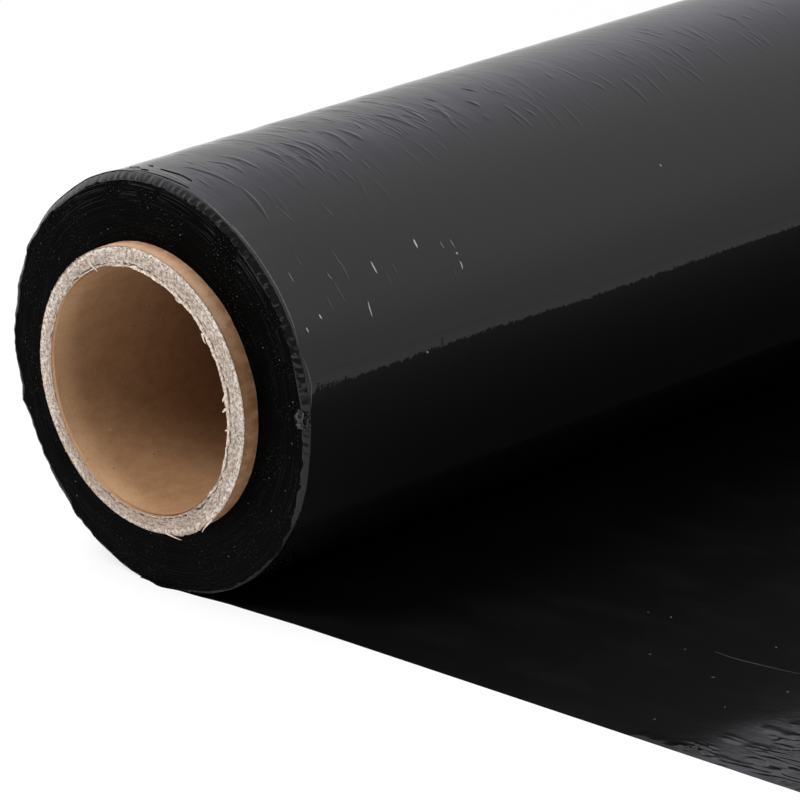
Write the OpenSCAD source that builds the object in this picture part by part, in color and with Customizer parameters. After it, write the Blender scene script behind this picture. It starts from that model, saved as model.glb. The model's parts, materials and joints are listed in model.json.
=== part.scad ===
// Roll of black stretch wrap: film wound on a paper core.
// The roll lies on its side, and the first stretch of film is pulled off and lies flat.
// The roll's axis is Y, Z is up, and the loose film lies towards +X.
// The origin is on the axis, halfway along the roll.

/* [Core] */
// Inside diameter of the paper core
core_bore = 50.8; // [38:0.1:77]
// Thickness of the core's wall
core_wall = 4; // [3:0.5:8]
// How far the core stands out of the film at each end
core_overhang = 4; // [2:0.5:20]
// Bevel on both rims of the core's ends, left by the cutting blade
core_bevel = 0.4; // [0.2:0.1:1]

/* [Film] */
// Width of the film, which is the length of the winding
film_width = 500; // [250:10:600]
// Depth of the winding, from the core to the outermost turn
winding = 13.7; // [10:0.1:40]
// How far the soft winding is pressed flat where it lies
flat_depth = 0.7; // [0.3:0.1:1.5]
// Thickness of the loose film as drawn, where the real film is 0.023
film_thickness = 0.6; // [0.4:0.1:1]
// How far the loose film reaches from the roll's axis
tail_reach = 400; // [120:10:600]
// How far the loose film's side edges lie inside the ends of the winding
tail_inset = 1.9; // [0.5:0.1:5]

/* [Ends of the winding] */
// Width of the rim where the outer turns curl over the end
rim_width = 2.8; // [2.5:0.1:4]
// How far the rim falls back from the end of the winding
rim_fall = 1.6; // [0.8:0.1:2]
// Number of turns that show on the end, where each stands for about 70 turns of film
turns_shown = 8; // [6:1:16]
// Depth of the groove between one turn and the next
turn_groove = 0.35; // [0.1:0.05:0.8]

/* [Hidden] */
$fn = 180;
core_r = core_bore / 2 + core_wall;
core_length = film_width + 2 * core_overhang;
film_r = core_r + winding;
floor_y = flat_depth - film_r;
end_z = film_width / 2;
// Where the flat of the end stops and the rim's curl starts
face_r = film_r - rim_width;
// The curl is an arc that leaves the end square and falls by rim_fall over rim_width
curl_r = (rim_width * rim_width + rim_fall * rim_fall) / (2 * rim_fall);
// The groove between the turns is a spiral with this pitch, and this share of it is open
turn_pitch = (face_r - core_r) / (turns_shown + 1);
groove_width = 0.35 * turn_pitch;
groove_land = (turn_pitch - groove_width) / 2;
// Cutters reach this far past what they cut
cut_margin = 1;

// Lays what is drawn along Z along the roll, with the drawing's Y upwards.
module along_roll() {
    rotate([90, 0, 0])
        children();
}

// Half of the tube's wall, with a bevel on each rim.
module core_section() {
    bore_r = core_bore / 2;
    half = core_length / 2;
    polygon([
        [bore_r, core_bevel - half],
        [bore_r + core_bevel, -half],
        [core_r - core_bevel, -half],
        [core_r, core_bevel - half],
        [core_r, half - core_bevel],
        [core_r - core_bevel, half],
        [bore_r + core_bevel, half],
        [bore_r, half - core_bevel],
    ]);
}

module paper_core() {
    color("#b08a66")
        along_roll()
            rotate_extrude()
                core_section();
}

// A quarter turn of a spiral that winds in by one pitch each turn, filled to its centre. The
// centres of the quarters are the corners of a square, taken in turn, so the arcs join smoothly.
function quarter_centre(quarter, pitch) =
    [[0, 0], [-1, 0], [-1, 1], [0, 1]][quarter % 4] * pitch / 4;

module quarter_turn(quarter, r, pitch) {
    translate(quarter_centre(quarter, pitch))
        rotate(180 - 90 * (quarter % 4))
            intersection() {
                circle(r);
                square(r);
            }
}

// The winding seen from its end. The outermost turn starts on the floor, goes up the -X side
// and over the top, and comes down one film thickness further in, on top of the loose film.
module wound_outline() {
    difference() {
        for (quarter = [0 : 3])
            quarter_turn(quarter, film_r - quarter * film_thickness / 4, film_thickness);
        translate([-film_r, floor_y - film_r])
            square([2 * film_r, film_r]);
    }
}

// Half of the winding's section, cut through the axis, with the rim's curl at both ends.
module winding_section() {
    translate([core_r, -end_z])
        square([face_r - core_r, film_width]);
    translate([core_r, curl_r - end_z])
        square([face_r - core_r + curl_r, film_width - 2 * curl_r]);
    for (side = [-1, 1])
        translate([face_r, side * (end_z - curl_r)])
            circle(curl_r);
}

// The groove between the turns, a spiral from the rim to the core.
module spiral_groove() {
    linear_extrude(turn_groove + cut_margin)
        for (quarter = [0 : 4 * turns_shown - 1])
            let(r = face_r - groove_land - quarter * turn_pitch / 4)
                difference() {
                    quarter_turn(quarter, r, turn_pitch);
                    translate(quarter_centre(quarter, turn_pitch))
                        circle(r - groove_width);
                }
}

module wound_film() {
    difference() {
        intersection() {
            linear_extrude(film_width, center = true)
                wound_outline();
            rotate_extrude()
                winding_section();
        }
        translate([0, 0, end_z - turn_groove])
            spiral_groove();
        translate([0, 0, turn_groove - end_z])
            mirror([0, 0, 1])
                spiral_groove();
    }
}

// The loose film, from under the winding to its cut end.
module loose_film() {
    translate([0, floor_y])
        linear_extrude(film_width - 2 * tail_inset, center = true)
            square([tail_reach, film_thickness]);
}

module stretch_film() {
    color("#17171a")
        along_roll() {
            wound_film();
            loose_film();
        }
}

paper_core();
stretch_film();
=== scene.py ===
"""A roll of black stretch wrap on its paper core, lying on a white studio floor.

The roll's axis is Y, with the end that the camera sees at -Y. Up is Z, and the loose film
lies towards +X. Lengths are in metres, or in millimetres where they are multiplied by MM.
"""
import json
import math
from functools import partialmethod

import bpy
import numpy as np
from mathutils import Matrix, Vector


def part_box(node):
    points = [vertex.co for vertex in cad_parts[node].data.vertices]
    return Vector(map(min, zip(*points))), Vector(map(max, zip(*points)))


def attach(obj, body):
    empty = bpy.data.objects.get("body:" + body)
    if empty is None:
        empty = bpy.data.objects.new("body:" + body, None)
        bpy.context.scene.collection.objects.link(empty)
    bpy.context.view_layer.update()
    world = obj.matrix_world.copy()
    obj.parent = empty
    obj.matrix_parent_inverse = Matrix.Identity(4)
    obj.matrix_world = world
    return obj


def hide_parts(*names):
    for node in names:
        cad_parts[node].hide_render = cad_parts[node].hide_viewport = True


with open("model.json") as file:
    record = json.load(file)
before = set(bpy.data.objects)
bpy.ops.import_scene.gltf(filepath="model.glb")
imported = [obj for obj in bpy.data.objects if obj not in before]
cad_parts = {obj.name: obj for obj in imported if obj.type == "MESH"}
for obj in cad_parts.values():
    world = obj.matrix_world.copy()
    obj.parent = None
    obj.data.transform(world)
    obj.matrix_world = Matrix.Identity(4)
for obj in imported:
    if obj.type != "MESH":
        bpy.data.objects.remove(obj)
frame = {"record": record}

MM = 0.001
TURN = 2 * math.pi

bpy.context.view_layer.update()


# The sizes that the frame gives

MOUNTS = {mount["name"]: mount for mount in frame["record"]["mounts"]}
BORE_R = MOUNTS["core_bore"]["dims"]["r_mm"] * MM
CORE_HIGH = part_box("paper_core")[1]
FILM_LOW, FILM_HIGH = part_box("stretch_film")
CORE_R = CORE_HIGH.x
CORE_END = CORE_HIGH.y
FILM_R = -FILM_LOW.x
FILM_END = FILM_HIGH.y
FLOOR_Z = FILM_LOW.z
TAIL_REACH = FILM_HIGH.x

# The sizes that are chosen here: how far the loose film's side edges lie inside the ends of the
# winding, its thickness, how far it reaches under the roll, and where the rim's curl starts

TAIL_INSET = 1.9 * MM
TAIL_THICK = 0.12 * MM
FLAT_HALF = 7.5 * MM
FACE_R = FILM_R - 1.7 * MM


# The camera

VIEW_AZIMUTH = 45.15
VIEW_ELEVATION = 18.76
VIEW_ROLL = -2.0
VIEW_DISTANCE = 1.0
VIEW_AIM = Vector((35.1, -216.7, -4.3)) * MM
VIEW_LENS = 227.5
SENSOR = 36


def placed(name, data):
    """A new object in the scene."""
    thing = bpy.data.objects.new(name, data)
    bpy.context.scene.collection.objects.link(thing)
    return thing


def place_camera():
    """Azimuth 0 looks along +Y, and 90 along -X."""
    azimuth, elevation, roll = (math.radians(v) for v in (VIEW_AZIMUTH, VIEW_ELEVATION, VIEW_ROLL))
    ahead = Vector((-math.sin(azimuth) * math.cos(elevation),
                    math.cos(azimuth) * math.cos(elevation),
                    -math.sin(elevation)))
    level = Vector((math.cos(azimuth), math.sin(azimuth), 0))
    above = level.cross(ahead)
    right = math.cos(roll) * level + math.sin(roll) * above
    up = math.cos(roll) * above - math.sin(roll) * level
    data = bpy.data.cameras.new("camera")
    data.lens = VIEW_LENS
    data.sensor_width = SENSOR
    data.clip_start = 0.01
    data.clip_end = 100
    camera = placed("camera", data)
    camera.matrix_world = Matrix.Translation(VIEW_AIM - VIEW_DISTANCE * ahead) @ Matrix(
        (right, up, -ahead)).transposed().to_4x4()
    bpy.context.scene.camera = camera


# Node trees, written as expressions

class Value:
    """One output of a node. Arithmetic on it adds Math nodes to the same tree."""

    def __init__(self, tree, socket):
        self.tree = tree
        self.socket = socket

    def out(self, name):
        """Another output of the node that this one comes from."""
        return Value(self.tree, self.socket.node.outputs[name])

    def maths(self, operation, *others):
        return self.tree.node("ShaderNodeMath", dict(enumerate((self, *others))), operation=operation)

    __add__ = __radd__ = partialmethod(maths, "ADD")
    __sub__ = partialmethod(maths, "SUBTRACT")
    __mul__ = __rmul__ = partialmethod(maths, "MULTIPLY")
    __truediv__ = partialmethod(maths, "DIVIDE")
    __pow__ = partialmethod(maths, "POWER")
    __abs__ = partialmethod(maths, "ABSOLUTE")

    def __rsub__(self, other):
        return self * -1 + other

    def above(self, edge, soft):
        """0 below the edge and 1 above it, with a smooth step of this width."""
        return self.tree.node(
            "ShaderNodeMapRange", {0: self, 1: edge - soft / 2, 2: edge + soft / 2},
            interpolation_type="SMOOTHSTEP")

    def below(self, edge, soft):
        return 1 - self.above(edge, soft)


class Tree:
    """Adds nodes to a node tree."""

    def __init__(self, node_tree):
        self.node_tree = node_tree

    def node(self, kind, sockets=None, out=0, **settings):
        """Adds a node: its settings first, then the values or links of its sockets."""
        node = self.node_tree.nodes.new(kind)
        for name, value in settings.items():
            setattr(node, name, value)
        for name, value in (sockets or {}).items():
            if isinstance(value, Value):
                self.node_tree.links.new(value.socket, node.inputs[name])
            else:
                node.inputs[name].default_value = value
        return Value(self, node.outputs[out]) if node.outputs else node

    def vector(self, x, y, z):
        return self.node("ShaderNodeCombineXYZ", {0: x, 1: y, 2: z})

    def mix(self, share, first, second):
        """Colours mixed: the first where share is 0."""
        return self.node("ShaderNodeMix", {0: share, 6: first, 7: second}, out=2, data_type="RGBA")

    def blend(self, share, first, second):
        """Shaders mixed: the first where share is 0."""
        return self.node("ShaderNodeMixShader", {0: share, 1: first, 2: second})


class Shape(Tree):
    """A tree of geometry nodes with named sizes, whose result becomes a plain mesh."""

    def __init__(self, name, **sizes):
        super().__init__(bpy.data.node_groups.new(name, "GeometryNodeTree"))
        self.name = name
        self.sizes = {}
        for label, size in sizes.items():
            kind = "NodeSocketInt" if isinstance(size, int) else "NodeSocketFloat"
            socket = self.node_tree.interface.new_socket(label, in_out="INPUT", socket_type=kind)
            self.sizes[socket.identifier] = size
        self.node_tree.interface.new_socket("Mesh", in_out="OUTPUT", socket_type="NodeSocketGeometry")
        first = self.node("NodeGroupInput")
        self.given = {label: first.out(label) for label in sizes}

    def chance(self, low, high, seed):
        """A number between low and high, drawn for each point."""
        return self.node("FunctionNodeRandomValue", {2: low, 3: high, "Seed": seed}, out=1)

    def mesh(self, shape, material):
        """The finished shape with its material on."""
        whole = self.node("GeometryNodeRealizeInstances", {0: shape})
        coated = self.node("GeometryNodeSetMaterial", {"Geometry": whole, "Material": material})
        self.node("NodeGroupOutput", {"Mesh": coated})
        holder = placed(self.name, bpy.data.meshes.new(self.name))
        modifier = holder.modifiers.new(self.name, "NODES")
        modifier.node_group = self.node_tree
        for identifier, size in self.sizes.items():
            modifier[identifier] = size
        seen = holder.evaluated_get(bpy.context.evaluated_depsgraph_get())
        mesh = bpy.data.meshes.new_from_object(seen)
        bpy.data.objects.remove(holder)
        return mesh


class Finish(Tree):
    """A material, with the coordinates that its patterns use."""

    def __init__(self, name):
        self.material = bpy.data.materials.new(name)
        self.material.use_nodes = True
        super().__init__(self.material.node_tree)
        self.node_tree.nodes.clear()
        self.place = self.node("ShaderNodeTexCoord", out="Object")
        self.x = self.node("ShaderNodeSeparateXYZ", {0: self.place})
        self.y = self.x.out("Y")
        self.z = self.x.out("Z")

    def round_roll(self):
        """Radius from the roll's axis, angle round it in radians from +X to +Z, and distance along it."""
        radius = (self.x * self.x + self.z * self.z) ** 0.5
        return radius, self.z.maths("ARCTAN2", self.x), self.y

    def noise(self, where, scale, detail=2, roughness=0.5):
        sockets = {"Vector": where, "Scale": scale, "Detail": detail, "Roughness": roughness}
        return self.node("ShaderNodeTexNoise", sockets)

    def pattern(self, x, y, z, detail=2, roughness=0.5):
        """Noise whose grain is 1 long in each of these coordinates."""
        return self.noise(self.vector(x, y, z), 1.0, detail, roughness)

    def bump(self, height):
        """A bump whose height is in millimetres."""
        return self.node("ShaderNodeBump", {"Height": height, "Distance": MM, "Strength": 1.0})

    def matt(self, colour):
        return self.node("ShaderNodeBsdfDiffuse", {"Color": colour})

    def surface(self, **sockets):
        """A Principled shader, with the sockets named in words joined by underscores."""
        return self.node("ShaderNodeBsdfPrincipled",
                         {name.replace("_", " "): value for name, value in sockets.items()})

    def done(self, shader):
        self.node("ShaderNodeOutputMaterial", {"Surface": shader})
        return self.material


def rgb(red, green, blue):
    """A colour given as the eye sees it, from 0 to 255, turned to the shader's linear scale."""
    def linear(v):
        v /= 255
        return v / 12.92 if v <= 0.04045 else ((v + 0.055) / 1.055) ** 2.4
    return linear(red), linear(green), linear(blue), 1


# Finishes

def specks(finish, across, along, cell, size, share):
    """Sparse dots on a surface: 1 inside a dot. Each cell of this size holds one dot, and this share
    of them shows."""
    sockets = {"Vector": finish.vector(across, along, 0.0), "Scale": 1 / cell}
    dots = finish.node("ShaderNodeTexVoronoi", sockets, out="Distance", voronoi_dimensions="2D")
    pick = finish.node("ShaderNodeSeparateColor", {0: dots.out("Color")})
    radius = size / cell / 2
    return dots.below(radius * (0.5 + pick.out("Green")), 0.5 * radius) * pick.below(share, 0.01)


FILM_BLACK = (0.0058, 0.0058, 0.0061, 1)
FILM_IOR = 1.46


def wound_film():
    """The outside of the winding: glossy black, with fine wrinkles that run round the roll, stronger
    over its top."""
    finish = Finish("wound_film")
    _, angle, along = finish.round_roll()
    round_way = angle * FILM_R
    ripples = finish.pattern(round_way * 210, along * 560, 0.0, 3)
    fine = finish.pattern(round_way * 700, along * 900, 2.0)
    ridges = finish.pattern(round_way * 55, (along + round_way * 0.1) * 300, 4.0, 1)
    groups = finish.pattern(round_way * 45, along * 75, 8.0, 1)
    ridge = (1 - abs(ridges - 0.5) / 0.04).maths("MAXIMUM", 0.0)
    top = angle.above(1.3, 0.8) * angle.below(2.6, 0.5)
    near = (along + FILM_END).below(150 * MM, 160 * MM)
    strong = top * groups.above(0.46, 0.14) * (0.4 + 0.6 * near)
    height = ripples * 0.036 + fine * 0.012 + ridge * strong * 0.03 + ridges * strong * 0.05
    return finish.done(finish.surface(
        Base_Color=FILM_BLACK, Roughness=0.035, IOR=FILM_IOR, Normal=finish.bump(height)))


def loose_film():
    """The film that lies flat: scuffed, so only a part of its surface still shines. Its crumpled corner
    is scuffed less."""
    finish = Finish("loose_film")
    front = finish.y + FILM_END
    corner = (finish.x - front * 0.1).above(135 * MM, 12 * MM) * front.below(25 * MM, 12 * MM)
    dull = 0.62 - corner * 0.48
    ripples = finish.pattern(finish.x * 300, finish.y * 700, finish.z * 300, 3)
    haze = finish.pattern(finish.x * 40, finish.y * 90, 3.0, 3).above(0.56, 0.2)
    glossy = finish.surface(Base_Color=FILM_BLACK, Roughness=0.08 + corner * 0.05, IOR=FILM_IOR,
                            Normal=finish.bump(ripples * 0.02))
    scuffed = finish.matt(finish.mix(haze, (0.003, 0.003, 0.0032, 1), (0.005, 0.005, 0.0052, 1)))
    return finish.done(finish.blend(dull, glossy, scuffed))


def film_edges():
    """The ends of the winding, where only the film's cut edges show: nearly matt, with faint turns
    that show as a painted sheen, lighter lines strongest on the upper right."""
    finish = Finish("film_edges")
    radius, angle, _ = finish.round_roll()
    turns = finish.pattern(radius * 5200, angle * 1.6, 0.0)
    patches = finish.pattern(finish.x * 110, finish.z * 110, 0.0)
    grain = finish.pattern(finish.x * 2600, finish.z * 2600, 5.0)
    # Painted sheen: the turns are lighter lines in the colour, faint everywhere and strongest near the rim
    # on the upper right
    clear = radius.above(FACE_R - 3 * MM, 4 * MM) * angle.above(0.4, 0.5) * angle.below(2.2, 0.4)
    painted_turn_sheen = turns.above(0.6, 0.06) * patches.above(0.46, 0.1) * (0.08 + 0.5 * clear)
    dusty = patches.below(0.5, 0.16) * grain.above(0.66, 0.06)
    colour = finish.mix(painted_turn_sheen, rgb(3, 3, 3), rgb(62, 62, 63))
    colour = finish.mix(dusty * 0.8, colour, rgb(62, 61, 60))
    return finish.done(finish.surface(
        Base_Color=colour, Roughness=0.6, Specular_IOR_Level=0.03, Normal=finish.bump(turns * 0.05)))


def rim_film():
    """The outer turns where they curl over the ends: satin, and finely crimped, with a painted sheen that
    makes the satin lighter over the top and on the lower left.
    """
    finish = Finish("rim_film")
    radius, angle, along = finish.round_roll()
    crimp = finish.pattern(angle * FILM_R * 700, radius * 150, along * 150)
    # Painted sheen: the satin's colour is lighter over the top and on the lower left
    top = angle.above(1.25, 0.7) + angle.below(-2.2, 0.4)
    colour = finish.mix(top, (0.0065, 0.0065, 0.007, 1), (0.024, 0.024, 0.025, 1))
    satin = finish.surface(
        Base_Color=colour, Roughness=0.1 + crimp * 0.2, IOR=FILM_IOR, Normal=finish.bump(crimp * 0.04))
    matt = finish.surface(Base_Color=(0.005, 0.005, 0.005, 1), Roughness=0.5, Specular_IOR_Level=0.1)
    low = abs(angle + 0.95).below(0.42, 0.16) * 0.8 + abs(angle + 0.26).below(0.27, 0.16) * 0.14
    return finish.done(finish.blend(low, satin, matt))


def crumpled_film():
    finish = Finish("crumpled_film")
    folds = finish.noise(finish.place, 1400, 2)
    return finish.done(finish.surface(
        Base_Color=finish.mix(folds.above(0.5, 0.3), rgb(22, 22, 23), rgb(64, 64, 66)), Roughness=0.32,
        IOR=FILM_IOR, Normal=finish.bump(folds * 0.2)))


def scratched_film(name, grey, blue=2):
    """Grey and white marks on the film: dust, a scratch and scuffs, and painted glints on tiny creases and
    along the rim's edge.
    """
    finish = Finish(name)
    return finish.done(finish.surface(Base_Color=rgb(grey, grey, grey + blue), Roughness=0.5))


def paper_board():
    """The core: brown kraft liners, darker inside and low on the outside, and greyer board on the cut
    ends. Light and shade are painted in: painted light over the outside's top and near the front of the
    bore's left wall, painted shade where the outside meets the film and towards the bottom of the cut
    board, and in part a painted highlight on the board's outer edge. The attribute wall holds, for each
    point, the shares of bare board, of painted shade in the gap behind the inner liner, and of the
    liner's torn lip."""
    finish = Finish("paper_board")
    radius, angle, along = finish.round_roll()
    pulp = finish.noise(finish.place, 1500, 3, 0.6)
    mottle = finish.pattern(finish.x * 420, finish.y * 260, finish.z * 420, 3, 0.6)
    cloud = finish.noise(finish.place, 120, 3)
    fleck = finish.noise(finish.place, 2300, 2)
    grain = finish.noise(finish.place, 1500, 3, 0.62)
    fibres = finish.pattern(radius * 2600, angle * 22, along * 600)
    wall = finish.node("ShaderNodeAttribute", out="Color", attribute_name="wall")
    wall = finish.node("ShaderNodeSeparateColor", {0: wall})
    bore = radius.below(BORE_R + 1.8 * MM, 0.3 * MM)
    depth = along + CORE_END
    # Painted light: the outside kraft is lighter over the top
    lit = abs(angle - 1.5).below(0.9, 0.9)
    outside = finish.mix(lit, rgb(158, 112, 74), rgb(186, 150, 122))
    # Painted shade: the outside darkens deeper in, towards where it meets the film
    outside = finish.mix(depth.above(2.5 * MM, 2.6 * MM) * 0.72, outside, rgb(126, 82, 48))
    outside = finish.mix(mottle.above(0.52, 0.3) * 0.35, outside, rgb(206, 172, 142))
    inside = finish.mix(mottle.above(0.5, 0.5), rgb(154, 117, 84), rgb(168, 131, 98))
    # Painted light: the bore is lighter near the front on its left wall, where light falls in
    painted_bore_light = depth.below(4.5 * MM, 7 * MM) * (finish.x + finish.z * 0.35).below(-12 * MM, 16 * MM)
    inside = finish.mix(painted_bore_light * 0.7, inside, rgb(206, 168, 130))
    inside = finish.mix((radius - BORE_R).above(0.12 * MM, 0.1 * MM) * 0.4, inside, rgb(150, 114, 84))
    kraft = finish.mix(bore, outside, inside)
    kraft = finish.mix(cloud.above(0.58, 0.4) * 0.14, kraft, rgb(140, 102, 70))
    kraft = finish.mix(pulp.above(0.6, 0.2) * 0.22, kraft, rgb(126, 90, 60))
    spots = specks(finish, angle * BORE_R, along, 3.5 * MM, 0.3 * MM, 0.22)
    chips = specks(finish, angle * BORE_R + 0.1, along, 4 * MM, 0.24 * MM, 0.2)
    kraft = finish.mix(spots * 0.6, kraft, rgb(66, 42, 28))
    kraft = finish.mix(chips * 0.5, kraft, rgb(214, 184, 150))
    # Painted shade: the cut board is darker towards the bottom of the end, on top of its cloudy mottling
    low = abs(angle + 1.75).below(0.8, 0.9) * 0.5
    # The outer edge of the cut is lighter: torn white fibres, and in part a painted highlight along the
    # edge
    rim = abs(radius - CORE_R + 0.5 * MM).below(0.45 * MM, 0.5 * MM) * grain.above(0.5, 0.1)
    board = finish.mix(grain.above(0.5, 0.3), rgb(160, 144, 131), rgb(211, 199, 188))
    board = finish.mix(cloud.above(0.5, 0.3) * 0.3 + low, board, rgb(160, 141, 126))
    board = finish.mix(fibres.above(0.58, 0.1) * 0.6, board, rgb(120, 103, 90))
    board = finish.mix(rim * 0.45, board, rgb(232, 225, 218))
    board = finish.mix(fleck.above(0.66, 0.06) * 0.7, board, rgb(84, 70, 60))
    lip = finish.mix(grain.above(0.5, 0.3), rgb(182, 161, 142), rgb(230, 216, 201))
    cut = finish.mix(wall.out("Blue"), board, lip)
    colour = finish.mix(wall, kraft, cut)
    colour = finish.mix(wall.out("Green") * 0.95, colour, rgb(44, 33, 26))
    height = pulp * (wall * 0.2 + 0.02) + (fleck * 0.12 + fibres * 0.16) * wall
    return finish.done(finish.surface(
        Base_Color=colour, Roughness=0.85, Specular_IOR_Level=0.25, Normal=finish.bump(height)))


def torn_board():
    finish = Finish("torn_board")
    pulp = finish.noise(finish.place, 1500, 3, 0.6)
    return finish.done(finish.surface(
        Base_Color=finish.mix(pulp, rgb(172, 156, 140), rgb(226, 214, 202)), Roughness=0.9))


# Making meshes

def ripple(angle, fewest, most, seed):
    """A smooth random wave that closes on itself after a turn, about 1 high. The array's values
    are angles, and the wave is a sum of waves with fewest to most crests a turn."""
    source = np.random.default_rng(seed)
    total = np.zeros_like(angle)
    for crests in range(fewest, most + 1):
        total += source.normal() * np.sin(crests * angle + source.uniform(0, TURN))
    return total / math.sqrt((most + 1 - fewest) / 2)


def swell(x, y, length, count, heading, spread, seed):
    """A smooth random surface about 1 high: a sum of plane waves about this long, whose crests
    run within spread degrees of the heading."""
    source = np.random.default_rng(seed)
    total = np.zeros_like(x)
    for _ in range(count):
        crest = math.radians(heading + source.uniform(-spread, spread))
        wave = length * math.exp(source.normal() * 0.3)
        total += np.sin((y * math.cos(crest) - x * math.sin(crest)) * TURN / wave + source.uniform(0, TURN))
    return total / math.sqrt(count / 2)


def grid_faces(rows, columns, closed_rows=False, closed_columns=False):
    """The quads of a grid whose points are numbered row by row."""
    row, column = np.meshgrid(np.arange(rows if closed_rows else rows - 1),
                              np.arange(columns if closed_columns else columns - 1), indexing="ij")
    next_row = (row + 1) % rows
    next_column = (column + 1) % columns
    return np.stack([row * columns + column, row * columns + next_column,
                     next_row * columns + next_column, next_row * columns + column], -1).reshape(-1, 4)


def outward(points, faces):
    """The faces of a closed shell, turned round if they point inwards."""
    a, b, c, d = (points[faces[:, k]] for k in range(4))
    volume = (np.cross(a, b) * c).sum() + (np.cross(a, c) * d).sum()
    return faces if volume > 0 else faces[:, ::-1]


def make_piece(name, points, faces, material, crease=50, node="stretch_film", wall=None):
    """A finished mesh piece that stands for a node. Edges sharper than crease degrees stay sharp.
    Wall gives three shares for each point, which the paper's finish reads."""
    mesh = bpy.data.meshes.new(name)
    mesh.from_pydata(points.tolist(), [], outward(points, faces).tolist())
    mesh.materials.append(material)
    mesh.polygons.foreach_set("use_smooth", [True] * len(mesh.polygons))
    mesh.set_sharp_from_angle(angle=math.radians(crease))
    if wall is not None:
        shares = mesh.attributes.new("wall", "FLOAT_COLOR", "POINT")
        shares.data.foreach_set("color", np.append(wall, np.ones((len(wall), 1)), 1).ravel())
    return dress(placed(name, mesh), node)


def dress(piece, node):
    """Fixes a piece to the roll, where it stands for a node."""
    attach(piece, "root")
    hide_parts(node)
    return piece


def on_roll(radius, angle, along):
    """Points at these radii, angles and distances along the roll's axis."""
    return np.stack([radius * np.cos(angle), along, radius * np.sin(angle)], -1)


def between(stops, count):
    """Points at even steps along a line of pairs: the share of the way, and the pair's two values."""
    share = np.linspace(0, 1, count)
    where = np.linspace(0, 1, len(stops))
    first, second = (np.interp(share, where, values) for values in zip(*stops))
    return share, first, second


def to_side(path, up):
    """The direction across a path, at each of its points."""
    way = np.gradient(path, axis=0)
    return np.cross(way / np.linalg.norm(way, axis=1)[:, None], up)


def bell(value, middle, width):
    """1 in the middle, and nearly 0 more than twice the width from it."""
    return np.exp(-((value - middle) / width) ** 2)


def turned(profile, segments, shape):
    """Points of a closed ring: a profile of (radius, along) turned round the roll's axis, after
    shape has moved them. Returns the points and their faces."""
    radius, along = (np.repeat(np.array(v)[:, None], segments, 1) for v in zip(*profile))
    angle = np.repeat(np.arange(segments)[None] * TURN / segments, len(profile), 0)
    radius, along = shape(radius, angle, along)
    return on_roll(radius, angle, along).reshape(-1, 3), grid_faces(len(profile), segments, True, True)


def smooth(low, high, value):
    """0 at low and 1 at high, with a smooth step between them. The low end may be the larger one."""
    share = np.clip((value - low) / (high - low), 0, 1)
    return share * share * (3 - 2 * share)


def by_angle(angle, stops):
    """What changes round the roll, from its values at some angles in degrees."""
    where, values = zip(*stops)
    return np.interp(np.degrees(angle) % 360, where, values, period=360)


def stepped(*runs):
    """Distances in millimetres, in runs of (start, end, step). Each run stops before its end."""
    return np.concatenate([np.arange(start, end - step / 4, step) for start, end, step in runs]) * MM


def merged(parts):
    """Several meshes of points and faces as one."""
    faces, points, count = [], [], 0
    for part_points, part_faces in parts:
        faces.append(outward(part_points, part_faces) + count)
        points.append(part_points)
        count += len(part_points)
    return np.concatenate(points), np.concatenate(faces)


def tube(rings, cap=None):
    """A closed shell over rows of points, each of which is a ring. The cap is the quads that close a
    ring, and without it they run across from one side of the ring to the other."""
    rows, columns = rings.shape[:2]
    if cap is None:
        cap = [[k, k + 1, columns - 2 - k, columns - 1 - k] for k in range(columns // 2 - 1)]
    cap = np.array(cap)
    faces = [grid_faces(rows, columns, False, True), cap[:, ::-1], cap + (rows - 1) * columns]
    return rings.reshape(-1, 3), np.concatenate(faces)


def ribbon(path, across, above, width, thick):
    """A thin strip along a path. The arrays across and above hold its two directions at each point."""
    across = np.broadcast_to(across, path.shape)
    rise = np.broadcast_to(above, path.shape) * thick
    half = np.broadcast_to(width / 2, len(path))[:, None] * across
    return tube(np.stack([path - half, path + half, path + half + rise, path - half + rise], 1))


# The paper core

CORE_SEGMENTS = 600
# How many loose fibres stand on its front end
FIBRES = 260
# Round the front end of the core, at some angles and in millimetres. How far the cut board's inner
# edge lies outside the bore, below 0 where the torn inner liner hangs into it
INNER_EDGE = (
    (0, -0.65), (30, -0.75), (60, -0.65), (75, -0.5), (90, -0.3), (105, -0.05), (120, 0.3), (150, 0.8),
    (180, 1.2), (210, 1.35), (240, 1.0), (270, 0.65), (300, 0.3), (315, 0.0), (330, -0.1), (345, -0.35))
# How far its outer edge bulges
OUTER_EDGE = (
    (0, 0.2), (30, 0.1), (90, 0.05), (105, -0.1), (120, -0.2), (150, -0.05), (180, 0.35), (210, 0.1),
    (240, 0), (262, -0.15), (283, 0.05), (288, 0.6), (298, 0.7), (304, 0.4), (315, 0.3), (330, 0.1))
# Where the dark gap behind the inner liner lies in the wall
LINER_GAP = (
    (0, 0.25), (60, 0.15), (90, 0.35), (120, 0.7), (150, 1.15), (180, 1.5), (210, 1.65), (240, 1.5),
    (270, 1.0), (300, 0.75), (330, 0.5))
# How far into the wall the hanging liner's lip reaches
LIP_REACH = 1.6
# How much of the gap is open
GAP_OPEN = ((0, 1), (130, 1), (150, 0.5), (200, 0.15), (225, 0.8), (255, 0.9), (290, 1))


def core_profile():
    """Round the wall: along the bore, over the back end, along the outside and over the front."""
    reach = np.array([0.12, 0.4, 0.7, 1.1, 1.6, 2.4, 4, 7, 12, 20, 34, 60, 110, 180]) * MM
    along = np.concatenate([reach - CORE_END, [0], CORE_END - reach[::-1]])
    front = BORE_R + np.append(stepped((0.04, 2.2, 0.07), (2.2, 3.9, 0.13)), CORE_R - BORE_R - 0.02 * MM)
    back = np.linspace(BORE_R + 0.04 * MM, CORE_R - 0.02 * MM, 16)
    bore = [(BORE_R, y) for y in along] + [(r, CORE_END) for r in back]
    return bore + [(CORE_R, y) for y in along[::-1]] + [(r, -CORE_END) for r in front[::-1]]


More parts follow.
